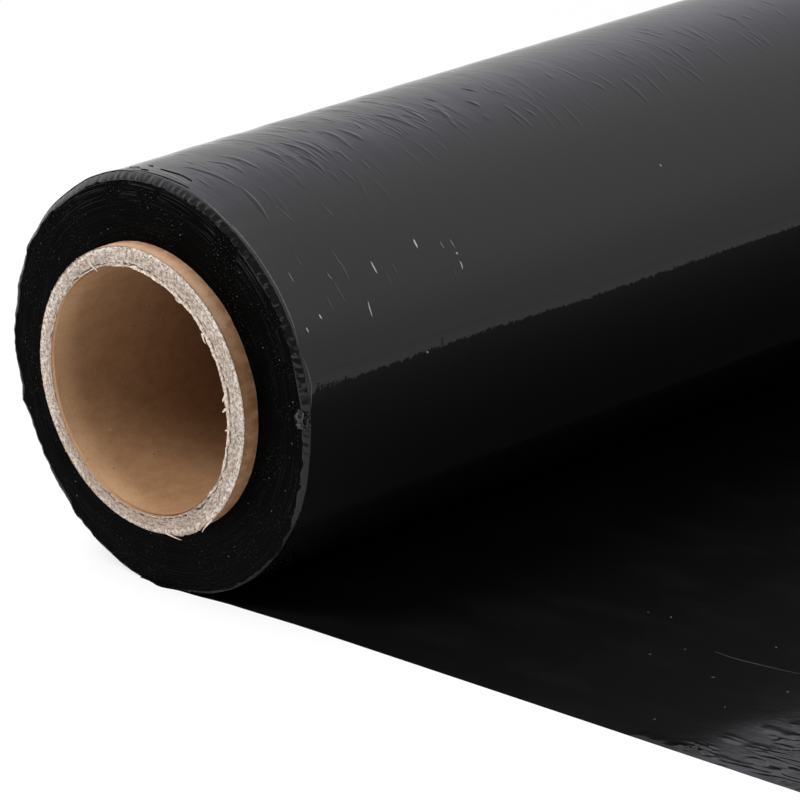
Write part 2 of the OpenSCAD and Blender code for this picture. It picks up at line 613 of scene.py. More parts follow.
def core_shape(radius, angle, along):
    """The cut ends are rough, with a dark gap behind the inner liner, whose edge is frayed. Also gives
    the shares that the finish reads. The lengths in here are millimetres."""
    source = np.random.default_rng(5)
    wall = (radius - BORE_R) / MM
    depth = (CORE_END - np.abs(along)) / MM
    cut = depth < 0.01
    edge = by_angle(angle, INNER_EDGE) + 0.07 * ripple(angle, 4, 30, 10)
    fray = 0.1 * np.clip(ripple(angle, 40, 230, 9), 0, 3) + 0.16 * np.clip(ripple(angle, 12, 60, 13), 0, 2)
    hang = np.clip(-edge, 0, None)
    hang = hang + fray * smooth(0, 0.4, hang)
    inward = hang * np.clip(1 - wall / LIP_REACH, 0, 1) * bell(depth, 0, 0.5)
    line = by_angle(angle, LINER_GAP) + 0.1 * ripple(angle, 5, 60, 31)
    width = 0.11 + 0.04 * ripple(angle, 4, 40, 35)
    place = wall - inward
    gap = by_angle(angle, GAP_OPEN) * np.clip(0.7 + 0.7 * ripple(angle, 8, 90, 32), 0, 1)
    gap = gap * bell(place, line, width)
    seam = bell(wall, 2.9 + 0.1 * ripple(angle, 3, 30, 33), 0.12)
    drop = 0.5 * gap + 0.12 * np.clip(ripple(angle, 2, 26, 34), 0, 1) * seam
    drop += 0.14 * (1 - smooth(0, 0.3, (CORE_R - radius) / MM)) ** 2
    ramp = np.clip(edge, 0.02, None)
    bevel = np.clip((ramp - wall) / ramp, 0, 1) * (edge > 0)
    drop += 0.9 * ramp * bevel + 0.06 * ripple(angle, 2, 9, 8) + 0.06
    drop += 0.07 * np.abs(source.normal(size=radius.shape))
    drop = np.where(place < line - 0.1, drop - 0.08 * (hang > 0), drop)
    bulge = by_angle(angle, OUTER_EDGE) * smooth(2.2, 4, wall) * np.exp(-depth / 1.2)
    rough = 0.05 * smooth(3.2, 4, wall) * np.exp(-depth / 0.2) * ripple(angle, 60, 240, 14)
    near_cut = bell(depth, 0, 0.25) * ((hang > 0) | (wall > 1))
    board = np.where(cut, 1 - smooth(0, 0.25, bevel), near_cut)
    lip = smooth(line - 0.16, line - 0.36, place) * smooth(0, 0.15, hang)
    along = np.where(cut, np.sign(along) * (np.abs(along) - drop * MM), along)
    return radius + (bulge + rough - inward) * MM, along, np.stack([board, gap * cut, lip], -1)


def make_core(paper):
    shares = []

    def shape(radius, angle, along):
        radius, along, found = core_shape(radius, angle, along)
        shares.append(found.reshape(-1, 3))
        return radius, along

    points, faces = turned(core_profile(), CORE_SEGMENTS, shape)
    make_piece("core_tube", points, faces, paper, 60, "paper_core", shares[0])
    make_piece("core_frays", *merged(fray_parts()), torn_board(), node="paper_core")


# Torn slivers of board on the front end, each a line of (angle, radius, distance from the middle)
# and its width at the start, in millimetres
TORN_PLIES = (
    (((118.4, 27.3, 253.9), (117.4, 26.6, 254.2), (116.2, 25.9, 254.2), (115, 25, 254.1)), 0.5),
    (((9, 24.6, 253.8), (7.6, 24.2, 253.9), (6.8, 24, 253.9), (6.4, 23.8, 253.8)), 0.55),
    (((3.4, 24.6, 253.8), (2.6, 24.2, 253.9), (1.8, 23.8, 253.9), (1.4, 23.5, 253.8)), 0.6),
    (((40, 24.5, 253.8), (38, 24.2, 253.9), (36.4, 24.05, 253.9), (35, 24, 253.8)), 0.7),
    (((-6.6, 24.9, 253.8), (-6.9, 24.6, 253.9), (-7.2, 24.4, 253.9), (-7.2, 24.2, 253.8)), 0.45),
    (((58, 24.6, 253.8), (59, 24.4, 253.9), (60.5, 24.3, 253.9), (62, 24.3, 253.8)), 0.5),
    (((-2, 29.5, 253.95), (-3.4, 28.9, 254.1), (-5, 28.3, 254.15), (-6.2, 27.6, 254)), 0.22),
    (((-5.4, 28.4, 253.95), (-6.6, 27.6, 254.1), (-8.2, 26.6, 254.15), (-9.6, 25.4, 254)), 0.24),
    (((-9, 28.6, 253.95), (-8.2, 28, 254.1), (-7.2, 27.2, 254.1), (-6.8, 26.6, 254)), 0.2),
    (((-79.5, 29.2, 253.8), (-76.8, 29.5, 254.1), (-74, 30, 254.2), (-71, 30.7, 254.1)), 0.42),
    (((-50, 29.6, 253.8), (-53, 29.9, 254.2), (-55.6, 30.2, 254.3), (-57.6, 30.6, 254.2)), 0.5),
)


def fray_parts():
    """Torn slivers and loose fibres on the front end of the core."""
    source = np.random.default_rng(12)
    parts = []

    def strip(stops, width):
        angle, radius, along = (np.array(v, float) for v in zip(*stops))
        path = on_roll(radius, np.radians(angle), -along) * MM
        taper = np.linspace(1, 0.15, len(path)) * width * MM
        parts.append(ribbon(path, to_side(path, (0, -1, 0)), (0, -1, 0), taper, 0.1 * MM))

    for stops, width in TORN_PLIES:
        strip(stops, width)
    core_r, bore_r, end = CORE_R / MM, BORE_R / MM, CORE_END / MM
    for _ in range(FIBRES):
        angle, inner = source.uniform(0, 360), source.random() < 0.55
        edge = float(by_angle(math.radians(angle), INNER_EDGE))
        radius = bore_r + edge + source.uniform(0, 1.2) if inner else core_r - source.uniform(0, 2.4)
        length = source.uniform(0.25, 0.8)
        turn, lean = source.uniform(-1.2, 1.2), source.uniform(-0.7, 0.5)
        strip(((angle, radius, end - 0.12),
               (angle + turn * length, radius + lean * length * 0.5, end + 0.03),
               (angle + turn * length * 2, radius + lean * length, end + source.uniform(-0.05, 0.1))),
              source.uniform(0.06, 0.12))
    return parts


# The winding

# Round the end of the winding, at some angles: the width of the curled rim and how far it falls back,
# in millimetres
RIM_CURL = (
    (0, 1.65, 0.95), (30, 1.6, 1.05), (60, 1.6, 0.95), (90, 1.85, 1.3), (120, 1.8, 1.9), (140, 1.6, 2.1),
    (160, 1.7, 1.9), (185, 1.7, 1.8), (210, 1.95, 1.9), (240, 1.15, 1.2), (260, 0.6, 0.7), (268, 0.5, 0.5),
    (282, 0.75, 0.55), (290, 0.6, 0.45), (300, 0.5, 0.4), (308, 0.7, 0.5), (315, 0.5, 0.4),
    (322, 0.35, 0.3), (330, 0.5, 0.45), (334, 0.9, 0.8), (340, 1.2, 0.95), (350, 1.3, 0.85),
    (358, 1.65, 0.9))
RIM_WIDTHS = [(angle, width) for angle, width, fall in RIM_CURL]
RIM_FALLS = [(angle, fall) for angle, width, fall in RIM_CURL]
RIM_REACH = 2.4 * MM
# How far the whole rim lies inside the film's end
RIM_DROP = 0.1 * MM
# The power in the curve of the curl: 1 is a straight slope and 2 a round one
CURL_POWERS = (
    (0, 1.12), (10, 1.06), (60, 1.1), (85, 1.25), (120, 1.35), (150, 1.6), (240, 1.6), (262, 1.3),
    (275, 1.1), (325, 1.08), (336, 1.24), (354, 1.24))
# Where narrow crimps cross the rim on the side that the light catches, in degrees
CRIMPS = (10, 20, 30, 34, 39.5, 43, 49, 53.5, 61, 67, 71, 75, 79, 82.5, 86, 88, 92, 93.5, 96, 98.5)
# How high the crimps are, in millimetres
CRIMP_HEIGHTS = (
    (0, 0.14), (15, 0.28), (55, 0.28), (75, 0.12), (85, 0.08), (120, 0.035), (200, 0.03), (275, 0.06),
    (330, 0.05), (355, 0.05))
# How high the crinkles between them are
CRINKLE_HEIGHTS = (
    (0, 0.03), (20, 0.06), (60, 0.06), (80, 0.04), (105, 0.025), (125, 0.012), (200, 0.008), (270, 0.008),
    (300, 0.02), (340, 0.02))
# How far the outline of the end lies inside the film's radius on the left, in millimetres, at the
# corners of the dented edge and in the hollows between them
EDGE_OUTLINE = (
    (110, 0.4), (128, 0.7), (134, 0.65), (140, 0.7), (144, 1.0), (150, 0.45), (152, 1.1),
    (156, 1.4), (162, 0.9), (164, 1.35), (168, 1.45), (174, 1.2), (176, 0.9), (178, 1.25),
    (180, 1.0), (184, 1.3), (186, 1.65), (192, 1.8), (196, 0.75), (198, 1.5), (202, 2.0),
    (206, 1.85), (210, 2.05), (212, 1.6), (216, 1.85), (220, 1.45), (222, 1.5), (228, 1.5),
    (232, 0.7), (234, 1.15), (236, 0.95), (238, 1.15), (240, 0.85), (248, 0.85), (252, 0.6),
    (258, 0.6), (264, 0.25), (272, 0.05))
# How far it stands out past that radius on the right and over the top
FLARES = ((0, 0.1), (30, 0.15), (60, 0.35), (85, 0.5), (105, 0.4), (125, 0), (270, 0))
# How far the soft turns lean out at 30 degrees, and in at 0, near the front end
LEAN = 0.16 * MM
# The knot of film on the front rim, and how far the edge swells out there
KNOT_ANGLE = 2.4
KNOT_SWELL = 0.28 * MM
# How fast a point that lies deeper than the end moves sideways and up in the camera's view of the end
VIEW_SLOPE = (1.0, 0.48)


def wound_radius(angle):
    """The outermost turn starts on the floor, goes up the -X side and comes down a little inside it."""
    share = np.mod(-TURN / 4 - angle, TURN) / TURN
    return FILM_R - TAIL_THICK * share


def curl_loss(angle):
    """How far the curl alone takes the left outline inside the film's radius, as the camera sees it."""
    width, fall, power = (by_angle(angle, stops) for stops in (RIM_WIDTHS, RIM_FALLS, CURL_POWERS))
    back = -(VIEW_SLOPE[0] * np.cos(angle) + VIEW_SLOPE[1] * np.sin(angle))
    least = np.full_like(angle, 9.0)
    for out in np.linspace(0, 1, 9):
        least = np.minimum(least, width * (1 - out) + back * fall * (1 - (1 - out ** power) ** (1 / power)))
    return least * MM


def edge_give(angle, along):
    """How far the edge of the soft turns gives way inwards near the ends of the winding."""
    depth = FILM_END - np.abs(along)
    turned_angle = np.mod(angle, TURN)
    degrees = np.degrees(turned_angle)
    give = by_angle(angle, EDGE_OUTLINE) * MM - RIM_DROP - curl_loss(angle)
    give = give * smooth(112, 126, degrees) * smooth(274, 266, degrees) * np.exp(-depth / (3.5 * MM))
    give -= by_angle(angle, FLARES) * MM * np.exp(-(depth / (4.5 * MM)) ** 1.3)
    lean = bell(turned_angle, 0.52, 0.26) - bell(np.sin(angle / 2), 0, 0.13)
    give -= LEAN * lean * (smooth(92 * MM, 46 * MM, depth) + 0.8 * bell(depth, 0, 11 * MM))
    from_knot = np.degrees(np.mod(angle + math.pi, TURN) - math.pi) - KNOT_ANGLE
    give -= KNOT_SWELL * bell(from_knot, 4, 7) * bell(depth, 0, 4.2 * MM)
    return give + 0.035 * MM * ripple(angle, 5, 50, 21) * np.exp(-depth / (9 * MM))


def wrinkles(angle, along):
    """Low ridges that run round the roll, over its top and mostly near the front end."""
    round_way = np.mod(angle + TURN / 4, TURN) * FILM_R
    top = smooth(52, 85, np.degrees(angle)) * smooth(158, 140, np.degrees(angle))
    near = 0.35 + 0.65 * smooth(130 * MM, 40 * MM, along + FILM_END)
    ridges = swell(round_way, along, 4.2 * MM, 16, 7, 7, 24)
    groups = np.clip(0.5 + 0.6 * swell(round_way, along, 26 * MM, 8, 60, 40, 25), 0, 1.5)
    broad = swell(round_way, along, 13 * MM, 10, 5, 9, 26)
    clouds = swell(round_way, along, 24 * MM, 9, 60, 60, 27)
    return (0.016 * ridges * groups + 0.03 * (broad + clouds)) * MM * top * near


def skin_radius(angle, along):
    """The finished outside of the winding."""
    return wound_radius(angle) + wrinkles(angle, along) - edge_give(angle, along)


def on_floor(radius, angle, floor=-FLOOR_Z):
    """Keeps the winding above the floor, where it is pressed flat."""
    down = -np.sin(angle)
    return np.minimum(radius, floor / np.clip(down, 1e-3, None))


def rim_point(out, angle, inset=0):
    """Radius and distance from the middle, from the rim's inner edge (0) to its outer edge (1)."""
    width, fall = by_angle(angle, RIM_WIDTHS) * MM, by_angle(angle, RIM_FALLS) * MM
    power = by_angle(angle, CURL_POWERS)
    down = 1 - (1 - out ** power) ** (1 / power)
    radius = wound_radius(angle) - width * (1 - out)
    return radius - inset, FILM_END - RIM_DROP - fall * down - inset


# In the winding's profile, these stand in place of a radius in metres: a point on the rim, with its
# share of the rim's width added, and a point on the outside
ON_RIM = 2
OUTSIDE = 5


def winding_shape(radius, angle, along):
    """Puts the points of the rim and the outside where the curl, the dents and the wrinkles take them."""
    on_rim = radius >= ON_RIM
    out = np.clip(radius - ON_RIM, 0, 1)
    rim_r, rim_y = rim_point(out, angle, 0.1 * MM)
    side = np.sign(along)
    depth = FILM_END - np.abs(along)
    spare = RIM_REACH - by_angle(angle, RIM_FALLS) * MM - 0.15 * MM
    depth = depth - spare * np.exp(-np.clip(depth - RIM_REACH, 0, None) / (2 * MM))
    outside = radius == OUTSIDE
    along = np.where(outside, side * (FILM_END - depth), np.where(on_rim, side * rim_y, along))
    radius = np.where(on_rim, rim_r - edge_give(angle, along), radius)
    radius = np.where(outside, skin_radius(angle, along), radius)
    return np.where(radius > CORE_R + 5 * MM, on_floor(radius, angle, -FLOOR_Z - TAIL_THICK), radius), along


def winding_profile():
    """Along the core, out over the back end, round its curl, along the outside and back in."""
    reach = FILM_END - RIM_REACH
    along = np.concatenate([stepped((0, 3.2, 0.4), (3.2, 130, 0.85), (130, 200, 5), (200, 490, 12)) - reach,
                            [reach - 2 * MM, reach]])
    curl = [ON_RIM + share for share in np.linspace(0, 0.97, 6)]
    back = [(CORE_R + 0.02 * MM, FILM_END - 1.5 * MM), (FACE_R - 3 * MM, FILM_END - 1.5 * MM)]
    back += [(share, FILM_END) for share in curl]
    return back + [(OUTSIDE, y) for y in along[::-1]] + [(r, -y) for r, y in back[::-1]]


def make_winding(film):
    make_piece("film_winding", *turned(winding_profile(), 360, winding_shape), film, 80)


END_NAMES = {-1: "front", 1: "back"}
# How many turns show on the end of the winding
TURNS_SHOWN = 16


def make_turns(side, material):
    """One end of the winding: a ring whose face has the spiral of turns, pushed in and out a little."""
    inner = CORE_R + 0.02 * MM
    pitch = (FACE_R - CORE_R) / TURNS_SHOWN
    profile = [(share, FILM_END) for share in np.linspace(0, 1, 64)] + \
        [(1, FILM_END - 3 * MM), (0, FILM_END - 3 * MM)]

    def shape(share, angle, along):
        width = by_angle(angle, RIM_WIDTHS) * MM
        tongues = 0.1 * MM * ripple(angle, 14, 90, 55)
        outer = wound_radius(angle) - width - edge_give(angle, along) + tongues + 0.1 * MM
        radius = inner + (outer - inner) * share
        phase = (radius - CORE_R) / pitch + angle / TURN + 0.12 * ripple(angle, 1, 9, 50)
        groove = (0.5 + 0.5 * np.sin(phase * TURN)) ** 4
        strength = np.clip(0.45 + 0.5 * ripple(angle + radius * 90, 2, 9, 53), 0.05, 1)
        band = 0.1 * MM * ripple(radius * 190, 1, 8, 51) + 0.05 * MM * ripple(angle, 2, 14, 52)
        sink = 0.08 * MM + 0.09 * MM * groove * strength + np.clip(band, -0.07 * MM, 0.25 * MM)
        on_face = along > FILM_END - 1e-6
        radius = np.where(share > 0.5, on_floor(radius, angle), radius)
        return radius, side * np.where(on_face, along - sink, along)

    make_piece("film_turns_" + END_NAMES[side], *turned(profile, 540, shape), material)


def crimp_ridges(angle, seed):
    """Narrow crimps across the rim, about 1 high: the chosen ones, and seeded ones down the left."""
    source = np.random.default_rng(seed)
    more = CRIMPS[-1] + np.cumsum(source.uniform(1.8, 4.4, 70))
    places = np.radians(np.concatenate([CRIMPS, more[more < 322]]))
    total = np.zeros_like(angle)
    for place in places:
        apart = np.mod(angle - place + math.pi, TURN) - math.pi
        breadth = source.uniform(0.16, 0.36) * MM
        total += source.uniform(0.5, 1.1) * bell(apart * FILM_R, 0, breadth)
    return total


def make_rim(side, satin, matt, seed, segments):
    """The curled edge of the outer turns at one end, crimped, with a thin matt lip outside it."""
    over = list(np.linspace(-0.12, 1, 13)) + [1.6]
    profile = [(share, 1) for share in over] + [(1.2, 2), (0.6, 2), (-0.12, 2)]

    def shape(share, angle, layer):
        out = np.clip(share, 0, 1)
        under = np.where(layer > 1.5, 0.25 * MM, 0.0)
        radius, along = rim_point(out, angle, under)
        along = along - np.clip(share - 1, 0, 1) * 0.9 * MM - np.clip(-share, 0, 1) * 4 * MM
        radius = radius + np.clip(share, -1, 0) * MM + np.where(share > 1.5, -0.04 * MM, 0)
        middle = np.sin(np.clip(0.12 + out * 0.88, 0, 1) * math.pi) ** 0.6
        crimp = by_angle(angle, CRIMP_HEIGHTS) * crimp_ridges(angle, seed) * bell(out, 0.3, 0.35)
        broad = 0.022 * ripple(angle, 30, 110, seed + 2) + 0.003 * ripple(angle, 140, 320, seed + 3)
        crinkle = swell(angle * FILM_R, out * 2 * MM, 1.9 * MM, 14, 80, 38, seed + 5)
        push = (crimp + broad + crinkle * by_angle(angle, CRINKLE_HEIGHTS)) * MM * middle
        radius = on_floor(radius + push - edge_give(angle, along), angle)
        return radius, side * (along + push)

    make_piece("film_rim_" + END_NAMES[side], *turned(profile, segments, shape), satin, 80)
    angle = np.radians(np.arange(96, 285, 0.5))
    radius, along = rim_point(np.full_like(angle, 0.93), angle)
    radius = on_floor(radius - edge_give(angle, along), angle, -FLOOR_Z - 0.16 * MM)
    path = on_roll(radius, angle, side * (along + 0.02 * MM))
    across = on_roll(1, angle, np.full_like(angle, -0.3 * side))
    share = np.linspace(0, 1, len(angle))
    fade = smooth(0, 0.05, share) * smooth(1, 0.95, share)
    lip = ribbon(path, across, (0, side, 0), (0.05 + 0.24 * fade) * MM, 0.06 * MM)
    make_piece("film_lip_" + END_NAMES[side], *lip, matt)


# How far the marks stand off the film
MARK_LIFT = 0.02 * MM
# Marks on the winding near its front end. Each is a line of (angle, millimetres from the end), and
# its width in millimetres
# White marks: tiny creases, with their glints painted white
WHITE_CREASE_GLINTS = (
    (((38.8, 40), (37.5, 40), (36.2, 39.9)), 0.34), (((29.4, 48.8), (28.3, 48.9), (27.1, 48.7)), 0.26),
    (((31.9, 48.8), (31.6, 48.9), (31.2, 49)), 0.34), (((36.6, 27.1), (35, 27.1), (33.2, 27.2)), 0.26),
    (((27, 22.1), (25, 21.9), (23, 21.9)), 0.24), (((28, 9), (27.2, 9.1), (26.5, 9.3)), 0.32),
    (((25.8, 4.7), (25.1, 4.8), (24.4, 4.8)), 0.26), (((37.3, 112), (36.8, 112.2), (36.4, 112.1)), 0.2),
    (((9.7, 34), (9.4, 34.1), (9.1, 34.2)), 0.4),
)
# Grey marks: creases and a line along the rim's edge, with their glints painted grey
GREY_CREASE_GLINTS = (
    (((60, 1.9), (46, 1.9), (41, 1.9), (35, 1.9), (30, 1.85), (26.5, 1.7), (22.5, 1.3)), 0.15),
    (((40.7, 6.6), (39.3, 6.5), (37.8, 6.5)), 0.2),
    (((36, 46.1), (34.9, 46.2), (33.8, 46.3)), 0.26), (((35.8, 48.8), (34.4, 48.9), (33, 49)), 0.26),
    (((37.4, 15.4), (36.4, 15.6), (35.4, 15.8)), 0.22),
    (((102, 3.4), (96, 3.7), (90, 3.8), (84, 3.7), (77, 3)), 0.22),
    (((70, 1.6), (63, 1.4), (56, 1.6), (50, 1.7)), 0.12),
    (((19, 1.6), (15.3, 2.1), (10.9, 2.3), (8, 1.6), (5.5, 1.2)), 0.13),
)
FAINT_NICKS = (
    (((43.1, 19.4), (40, 19.6), (37.6, 19.9), (35.3, 19.9), (33.5, 19.6)), 0.5),
    (((29.2, 46.8), (27.1, 46.6), (25.1, 46.1)), 0.34), (((35, 31.8), (33, 31.9), (31.1, 31.9)), 0.42),
    (((35.2, 15.9), (32, 16.2), (28, 16.6)), 0.4), (((32.4, 12.4), (30, 12.7), (27.2, 12.8)), 0.4),
    (((33.5, 29), (31, 29.4), (29, 29.3)), 0.3), (((46, 10.2), (43, 10.6), (41, 10.5)), 0.26),
    (((62, 14.6), (57, 15.4), (53, 15.6)), 0.26), (((58, 24.6), (54, 25.2), (51, 25.2)), 0.26),
)
BLACK_LIPS = (
    (((102.5, 4.6), (100.2, 4.8), (98.2, 4.6)), 0.24),
    (((97.8, 6.5), (96.8, 6.7), (95.9, 6.6)), 0.18),
    (((91.5, 5.4), (87.5, 5.3), (83, 5.5), (79, 5.1)), 0.24),
    (((97, 1.7), (90, 1.75), (83, 1.9), (76, 2.1)), 0.18),
    (((96, 3.3), (94.5, 3.35), (93, 3.3)), 0.16),
)
# Wrinkles that stand up over the top of the roll
TOP_WRINKLES = (
    ((90.5, 9.1), (80.8, 10.7), (70.3, 11.9)), ((88.4, 14.8), (82.7, 17), (74.8, 16.8)),
    ((87.7, 20.1), (82.6, 20.6), (74.9, 21)), ((71, 12.3), (63.3, 11.6), (55.8, 10.3)),
    ((86.6, 27.6), (80.9, 28.5), (76.4, 28)), ((87.3, 33.2), (80.3, 34.5), (71.9, 34.5)),
    ((86.8, 36.5), (77.9, 37.4), (72.2, 37)), ((76.8, 31.9), (71.9, 33), (65.5, 32.2)),
    ((87.7, 44.2), (80.9, 45.2), (71.6, 44)), ((84.4, 47.9), (77.9, 48.7), (73.5, 48.7)),
    ((85.3, 53.3), (82, 52.8), (78.8, 52.2)), ((86.3, 59.7), (80.1, 61.7), (70.3, 63.1)),
    ((87.2, 67.6), (78.2, 67.1), (72.8, 66.9)), ((86.9, 75.2), (84, 75.6), (81.8, 75.7)),
    ((81.1, 73.2), (75, 72.6), (69.9, 71.5)), ((85.3, 85.3), (83, 86.1), (80.7, 86.6)),
    ((78.3, 81.3), (75.6, 81.8), (73.3, 81.9)),
)
FAINT_WRINKLES = (
    ((65.9, 63.2), (63, 63.2), (60.7, 62.9)), ((64.3, 38.9), (58, 37), (52.4, 35.6)),
    ((61.8, 40.9), (55, 40.9), (48.1, 40.5)), ((69.7, 15.9), (65, 15.7), (61.6, 15)),
    ((64.9, 17.2), (60, 16.5), (54.9, 15.2)), ((72.2, 25), (67, 25.1), (62.5, 24.7)),
    ((67.2, 33.5), (64, 33.5), (61.3, 33.1)), ((81.4, 66.6), (77, 66.9), (73.9, 66.7)),
)


def film_marks(marks, thick):
    """Thin raised strips on the winding, tapered to their ends."""
    parts = []
    for stops, width in marks:
        share, angle, along = between(stops, 6 * len(stops))
        angle, along = np.radians(angle), along * MM - FILM_END
        path = on_roll(skin_radius(angle, along) + MARK_LIFT, angle, along)
        taper = (0.15 + 0.85 * np.sin(math.pi * share) ** 0.7) * width * MM
        parts.append(ribbon(path, (0, 1, 0), on_roll(1, angle, 0 * angle), taper, thick * MM))
    return merged(parts)


# Small blisters at the foot of the white floor's mirror image
BLISTERS = (((13, 38.6), (11, 38.4), (9, 38.2)), ((10.6, 39.9), (9.6, 39.8), (8.6, 39.7)),
            ((10.6, 41.8), (9.6, 41.8), (8.6, 41.9)), ((10.6, 44.6), (9.8, 44.5), (8.8, 44.4)),
            ((10.4, 46.6), (9.6, 46.5), (8.8, 46.4)))

# How many seeded wrinkles there are besides the chosen ones
SEEDED_WRINKLES = 190
# Across a ridge: how far out each point of its ring lies, how high, and how deep it sinks in the film
RIDGE_ACROSS = np.array([-1, -0.7, -0.45, -0.22, 0, 0.22, 0.45, 0.7, 1, 1, -1])
RIDGE_CREST = np.array([0, 0.15, 0.42, 0.82, 1, 0.82, 0.42, 0.15, 0, 0, 0])
RIDGE_SUNK = np.array([0.004] * 9 + [0.2] * 2) * MM
RIDGE_CAP = [[0, 8, 9, 10]] + [[8 - k, k, k + 1, 7 - k] for k in range(4)]


def ridge_strip(stops, width, height):
    """A low rounded ridge on the winding along a line of (angle, millimetres from the end)."""
    share, angle, _ = between(stops, 22)
    bend = np.polyfit(np.linspace(0, 1, len(stops)), [stop[1] for stop in stops], 2)
    taper = 0.03 + 0.97 * np.sin(math.pi * share)[:, None]
    spread = RIDGE_ACROSS * width * (0.3 + 0.7 * taper) / 2
    along = np.polyval(bend, share)[:, None] * MM + spread - FILM_END
    angle = np.radians(angle)[:, None] + 0 * along
    radius = skin_radius(angle, along) + RIDGE_CREST * height * taper ** 0.8 - RIDGE_SUNK
    return tube(on_roll(radius, angle, along), RIDGE_CAP)


def make_wrinkles(film):
    """The ridges over the roll's top: the ones near the front end, and seeded ones further along."""
    source = np.random.default_rng(91)
    parts = [ridge_strip(stops, source.uniform(1.5, 2.1) * MM, source.uniform(0.15, 0.21) * MM)
             for stops in TOP_WRINKLES]
    parts += [ridge_strip(stops, source.uniform(1.4, 2) * MM, source.uniform(0.04, 0.06) * MM)
              for stops in FAINT_WRINKLES]
    parts += [ridge_strip(stops, 0.8 * MM, 0.11 * MM) for stops in BLISTERS]
    for number in range(SEEDED_WRINKLES):
        start = source.uniform(22, 200) if number % 3 else source.uniform(6, 80)
        high, lean = source.uniform(66, 92) + 14 * (number % 3 == 0), source.uniform(-1.2, 1.6)
        reach = source.uniform(4, 16)
        stops = ((high, start), (high - reach / 2, start + lean * 0.7), (high - reach, start + lean))
        height = source.uniform(0.03, 0.13) * (1 if start < 90 else 0.7)
        parts.append(ridge_strip(stops, source.uniform(0.8, 1.9) * MM, height * MM))
    make_piece("film_wrinkles", *merged(parts), film, 80)


def make_marks(white, grey, faint, matt):
    for name, marks, thick, material in (("film_white_glints", WHITE_CREASE_GLINTS, 0.04, white),
                                         ("film_grey_glints", GREY_CREASE_GLINTS, 0.04, grey),
                                         ("film_scuffs", FAINT_NICKS, 0.03, faint),
                                         ("film_slits", BLACK_LIPS, 0.1, matt)):
        make_piece(name, *film_marks(marks, thick), material)


# Where the knot's centre lies, and its half widths in millimetres
KNOT_R = 41.3 * MM
KNOT_DEPTH = 0.6 * MM
KNOT_SIZE = (1.9, 1.2, 2.1)


def make_knot(crumpled):
    """A crumpled knot of film on the front rim, just above where the loose film's mirror image starts."""
    columns = 40
    tilt, turn = np.meshgrid(np.linspace(0.02, math.pi - 0.02, 26), np.arange(columns) * TURN / columns,
                             indexing="ij")
    unit = np.stack([np.sin(tilt) * np.cos(turn), np.sin(tilt) * np.sin(turn), np.cos(tilt)], -1)
    x, y, z = (unit[..., k] for k in range(3))
    size = 1.15 - 0.3 * np.abs(swell(x + 0.4 * z, y - 0.6 * z, 0.75, 14, 0, 180, 90))
    centre = on_roll(KNOT_R, math.radians(KNOT_ANGLE), KNOT_DEPTH - FILM_END)
    make_piece("film_knot", *tube(unit * size[..., None] * KNOT_SIZE * MM + centre), crumpled, 70)


# The loose film

def edge_inset(x):
    """How far the loose film's side edge lies inside the end of the winding. It leaves the roll
    nearly level with the rim."""
    inset = TAIL_INSET - 0.7 * MM * smooth(40 * MM, 17 * MM, x) - 1.1 * MM * smooth(19 * MM, 6 * MM, x)
    return inset - 1.1 * MM * bell(x, -0.5 * MM, 3.2 * MM)


def tail_height(x, y):
    """How far the loose film stands off the floor. It clings near the roll, ripples further out, and is
    crumpled in overlapping laps at its front edge. The lengths in here are millimetres."""
    half = (FILM_END - TAIL_INSET) / MM
    x, y = x / MM, y / MM
    front, back = half + y, half - y
    free = smooth(110, 300, x)
    waves = 0.5 * (1 + swell(x, y, 90, 9, 20, 50, 60)) * free
    loose = 0.5 * np.clip(swell(x, y, 40, 12, 10, 30, 62), 0, 3) * free
    reach = smooth(330, 200, x)
    fringe = swell(x, y, 6, 9, -13, 12, 68)
    corner = smooth(139, 149, x - 0.15 * front + 2 * fringe) * smooth(27, 15, front + 2.5 * fringe)
    crumple = (0.1 + 0.026 * swell(x, y, 1.6, 16, 6, 12, 61)) * corner * reach
    inner = x - 146 + 1.4 * np.minimum(front - 7, 0) + 0.5 * np.clip(front - 12, 0, 8)
    upper = 11 + 1.2 * (x - 134) - front
    region = smooth(-2, 3, inner + 1.5 * fringe) * smooth(-3, 3, upper + 2 * fringe) * smooth(36, 24, front)
    dash = 0.8 * bell(x, 139, 2) * bell(front, 11, 1.4)
    phase = (0.995 * y - 0.1 * x) / 2.4 + 0.45 * swell(x, y, 14, 10, 6, 28, 64)
    phase = np.mod(phase + 0.1 * swell(x, y, 4, 10, 6, 30, 65), 1)
    laps = 0.22 * np.minimum(phase / 0.76, (1 - phase) / 0.24) * np.maximum(region, dash) * reach
    laps = laps * np.clip(0.8 + 0.5 * swell(x, y, 6, 10, 10, 45, 69), 0.1, 1.6) * smooth(0, 1.6, front)
    hem = 0.13 * smooth(121, 126, x) * smooth(0, 0.9, front) * smooth(4, 1.4, front) * reach
    hem = hem * (1 + 0.4 * swell(x, y, 5, 8, 80, 25, 66)) * (1 - 0.8 * bell(x, 145, 4))
    bundle = bell(x, 137.5, 3.4) * bell(front, 2.6, 2.6) * smooth(0, 1.4, front)
    bundle = bundle * (0.15 + 0.17 * swell(x, y, 1.6, 12, 20, 40, 67))
    far = 0.3 * np.clip(swell(x, y, 16, 10, 5, 25, 63), 0, 3) * smooth(26, 8, back) * smooth(60, 120, x)
    return np.clip(waves + loose + crumple + laps + hem + bundle + far, 0, None) * MM


def tail_top(x, y):
    return FLOOR_Z + TAIL_THICK + tail_height(x, y)


